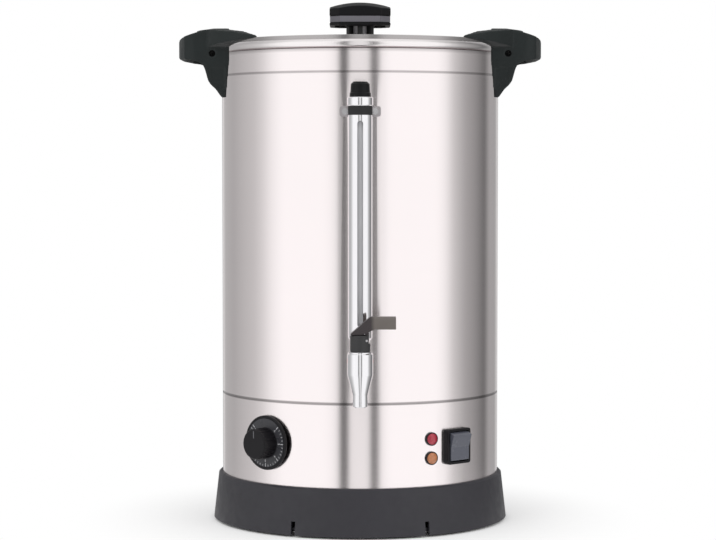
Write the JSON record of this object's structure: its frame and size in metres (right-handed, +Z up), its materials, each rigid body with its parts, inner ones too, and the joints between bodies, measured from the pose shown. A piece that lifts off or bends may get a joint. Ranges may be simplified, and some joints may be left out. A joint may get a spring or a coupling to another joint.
{
  "type": "hot water urn",
  "caption": "Tall double-walled steel water urn on a dark moulded base, with a lift-off lid, side handles, a front sight gauge, a lever tap, a thermostat dial, pilot lamps and a rocker switch",
  "frame": {"origin": "On the table under the middle of the body, where the body's axis meets the plane of the rubber feet", "axes": "+Z up along the body's axis, the tap and gauge face -Y, the cable gland points +Y, the right handle is towards +X"},
  "size_m": [0.335, 0.334, 0.4785],
  "materials": {
    "satin_steel": "satin sheet",
    "polished_steel": "bright finish",
    "chrome": "bright plated",
    "zinc_hardware": "plain zinc",
    "dark_hardware": "black oxide",
    "base_moulding": "fine grained moulding",
    "handle_moulding": "fine grained moulding",
    "black_moulding": "smooth moulding",
    "control_moulding": "smooth moulding",
    "lever_moulding": "smooth moulding",
    "scale_grey": "printed scale ring",
    "rocker_grey": "smooth moulding",
    "red_lens": "clear coloured moulding",
    "amber_lens": "clear coloured moulding",
    "gauge_glass": "clear",
    "rubber": "matt",
    "silicone": "matt",
    "aluminium": "as cast",
    "element_sheath": "oxidised",
    "block_ivory": "smooth moulding",
    "cutout_tan": "moulded case",
    "bulb_copper": "drawn"
  },
  "bodies": {
    "root": {"base_skirt": "base_moulding", "feet": "rubber", "foot_screws": "zinc_hardware", "bottom_plate": "zinc_hardware", "control_band": "satin_steel", "outer_jacket": "satin_steel", "rim_collar": "satin_steel", "inner_tank": "polished_steel", "element_plate": "aluminium", "heating_element": "element_sheath", "element_clamp": "zinc_hardware", "thermal_cutout": "cutout_tan", "sensor_bulb": "bulb_copper", "thermostat_body": "control_moulding", "thermostat_nut": "zinc_hardware", "terminal_block": "block_ivory", "cable_gland": "control_moulding", "gland_nut": "control_moulding", "lamp_bodies": "control_moulding", "red_lens": "red_lens", "amber_lens": "amber_lens", "switch_housing": "control_moulding", "shank_seals": "silicone", "shank_spacer": "zinc_hardware", "shank_nut": "zinc_hardware", "gauge_tee": "chrome", "gauge_nut": "chrome", "gauge_glass": "gauge_glass", "gauge_guard": "chrome", "gauge_seal": "rubber", "gauge_collar": "chrome", "gauge_cap": "black_moulding", "gauge_bracket": "chrome", "bracket_screws": "zinc_hardware", "tap_body": "chrome", "tap_bonnet": "chrome", "handle_left": "handle_moulding", "handle_right": "handle_moulding", "handle_brackets": "zinc_hardware", "handle_screws": "zinc_hardware", "handle_nuts": "zinc_hardware", "cheek_screws": "dark_hardware", "tap_spring": "zinc_hardware"},
    "lid": {"lid_pan": "polished_steel", "lid_ring": "polished_steel", "knob_washer": "polished_steel", "knob_spacer": "black_moulding", "lid_knob": "black_moulding", "lid_screw": "zinc_hardware"},
    "dial": {"dial_knob": "control_moulding", "dial_scale": "scale_grey", "dial_spindle": "zinc_hardware"},
    "rocker": {"switch_rocker": "rocker_grey"},
    "collar": {"lever_hub": "control_moulding", "lever_pin": "zinc_hardware"},
    "lever": {"tap_lever": "lever_moulding"},
    "stem": {"tap_stem": "zinc_hardware", "stem_seal": "silicone"}
  },
  "joints": [
    {"name": "lid_lift", "type": "slide", "parent": "root", "child": "lid", "axis": [0, 0, 1], "range_m": [0, 0.12]},
    {"name": "dial_turn", "type": "hinge", "parent": "root", "child": "dial", "pos_m": [-0.08228, -0.09805, 0.0813], "axis": [-0.6428, -0.766, 0], "range_deg": [-270, 0]},
    {"name": "switch_rock", "type": "hinge", "parent": "root", "child": "rocker", "pos_m": [0.08632, -0.09587, 0.078], "axis": [0.7431, 0.6691, 0], "range_deg": [-18, 0]},
    {"name": "lever_swivel", "type": "hinge", "parent": "root", "child": "collar", "pos_m": [0, -0.175, 0.1755], "axis": [0, 0, 1], "range_deg": [-180, 0]},
    {"name": "lever_tilt", "type": "hinge", "parent": "collar", "child": "lever", "pos_m": [0.0055, -0.175, 0.1789], "axis": [0, 1, 0], "range_deg": [0, 23], "stiffness_Nm_per_rad": 0.05, "springref_deg": -17.19},
    {"name": "stem_lift", "type": "slide", "parent": "root", "child": "stem", "axis": [0, 0, 1], "range_m": [0, 0.00221], "stiffness_N_per_m": 2, "springref_m": 0.04, "deforming": ["tap_spring"]}
  ],
  "couplings": [
    {"joint": "stem_lift", "follows": "lever_tilt", "m_per_rad": 0.0055}
  ]
}
